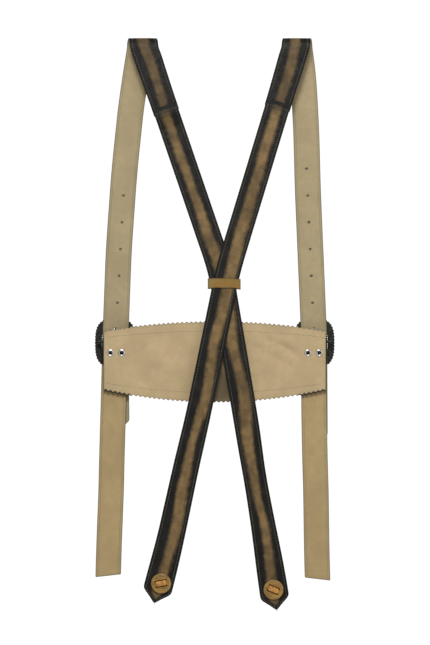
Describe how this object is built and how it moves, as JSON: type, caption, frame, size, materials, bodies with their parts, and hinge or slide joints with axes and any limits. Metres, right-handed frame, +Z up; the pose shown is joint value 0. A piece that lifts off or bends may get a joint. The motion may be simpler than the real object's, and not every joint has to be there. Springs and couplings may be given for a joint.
{
  "type": "trouser braces",
  "caption": "Leather trouser braces with two buckled shoulder straps, a suede-lined chest bar with scalloped edges, crossed back straps in a loop, and laced tip buttons.",
  "frame": {"origin": "at the middle of the object's width, on the crest inside the two shoulder folds, where a rail would carry them", "axes": "+Z up along the hanging straps, +Y from the wearer's back to the front, +X to the wearer's right as seen from behind"},
  "size_m": [0.2765, 0.043, 0.6564],
  "materials": {
    "face_leather": "antiqued grain, worn lighter along the middle",
    "beige_suede": "suede",
    "ochre_suede": "suede",
    "horn_disc": "satin horn",
    "orange_lace": "oiled lace",
    "nickel_eyelet": "nickel plated",
    "antique_metal": "blackened, rubbed edges"
  },
  "bodies": {
    "shoulders": {"left_shoulder_face_fold": "face_leather", "left_shoulder_face_back": "face_leather", "left_back_face_upper": "face_leather", "left_shoulder_lining_fold": "beige_suede", "left_shoulder_lining_back": "beige_suede", "left_back_lining_upper": "beige_suede", "right_shoulder_face_fold": "face_leather", "right_shoulder_face_back": "face_leather", "right_back_face_upper": "face_leather", "right_shoulder_lining_fold": "beige_suede", "right_shoulder_lining_back": "beige_suede", "right_back_lining_upper": "beige_suede"},
    "front": {"chest_bar_face": "face_leather", "chest_bar_lining": "beige_suede", "left_shoulder_face_front": "face_leather", "left_lower_face_upper": "face_leather", "left_shoulder_lining_front": "beige_suede", "left_lower_lining_upper": "beige_suede", "left_eyelets": "nickel_eyelet", "left_eyelet_washers": "nickel_eyelet", "right_shoulder_face_front": "face_leather", "right_lower_face_upper": "face_leather", "right_shoulder_lining_front": "beige_suede", "right_lower_lining_upper": "beige_suede", "right_eyelets": "nickel_eyelet", "right_eyelet_washers": "nickel_eyelet"},
    "keeper": {"cross_keeper": "ochre_suede"},
    "left_back_tail": {"left_back_face_tail": "face_leather", "left_back_lining_tail": "beige_suede", "left_tip_button": "horn_disc", "left_button_lace": "orange_lace"},
    "left_lower_end": {"left_lower_face_end": "face_leather", "left_lower_lining_end": "beige_suede"},
    "left_buckle": {"left_buckle_frame": "antique_metal", "left_centre_bar": "antique_metal"},
    "left_prong": {"left_prong": "antique_metal"},
    "right_back_tail": {"right_back_face_tail": "face_leather", "right_back_lining_tail": "beige_suede", "right_tip_button": "horn_disc", "right_button_lace": "orange_lace"},
    "right_lower_end": {"right_lower_face_end": "face_leather", "right_lower_lining_end": "beige_suede"},
    "right_buckle": {"right_buckle_frame": "antique_metal", "right_centre_bar": "antique_metal"},
    "right_prong": {"right_prong": "antique_metal"}
  },
  "joints": [
    {"name": "shoulder_fold", "type": "hinge", "parent": "shoulders", "child": "front", "pos_m": [0, 0, -0.008], "axis": [1, 0, 0], "range_deg": [0, 40], "deforming": ["left_shoulder_face_fold", "left_shoulder_lining_fold", "right_shoulder_face_fold", "right_shoulder_lining_fold"]},
    {"name": "keeper_slide", "type": "slide", "parent": "shoulders", "child": "keeper", "axis": [0, 0, -1], "range_m": [0, 0.01]},
    {"name": "left_back_flex", "type": "hinge", "parent": "shoulders", "child": "left_back_tail", "pos_m": [0.0344, -0.0095, -0.43], "axis": [-1, 0, 0], "range_deg": [-30, 60]},
    {"name": "left_lower_flex", "type": "hinge", "parent": "front", "child": "left_lower_end", "pos_m": [-0.115, 0.0049, -0.472], "axis": [1, 0, 0], "range_deg": [-30, 60]},
    {"name": "left_buckle_tilt", "type": "hinge", "parent": "front", "child": "left_buckle", "pos_m": [-0.115, 0.0049, -0.3465], "axis": [-1, 0, 0], "range_deg": [-3, 3]},
    {"name": "left_prong_swing", "type": "hinge", "parent": "left_buckle", "child": "left_prong", "pos_m": [-0.115, 0.0049, -0.3465], "axis": [-1, 0, 0], "range_deg": [0, 20]},
    {"name": "right_back_flex", "type": "hinge", "parent": "shoulders", "child": "right_back_tail", "pos_m": [-0.0192, -0.0128, -0.43], "axis": [-1, 0, 0], "range_deg": [-30, 60]},
    {"name": "right_lower_flex", "type": "hinge", "parent": "front", "child": "right_lower_end", "pos_m": [0.1145, 0.0049, -0.472], "axis": [1, 0, 0], "range_deg": [-30, 60]},
    {"name": "right_buckle_tilt", "type": "hinge", "parent": "front", "child": "right_buckle", "pos_m": [0.1145, 0.0049, -0.3465], "axis": [-1, 0, 0], "range_deg": [-3, 3]},
    {"name": "right_prong_swing", "type": "hinge", "parent": "right_buckle", "child": "right_prong", "pos_m": [0.1145, 0.0049, -0.3465], "axis": [-1, 0, 0], "range_deg": [0, 20]}
  ]
}
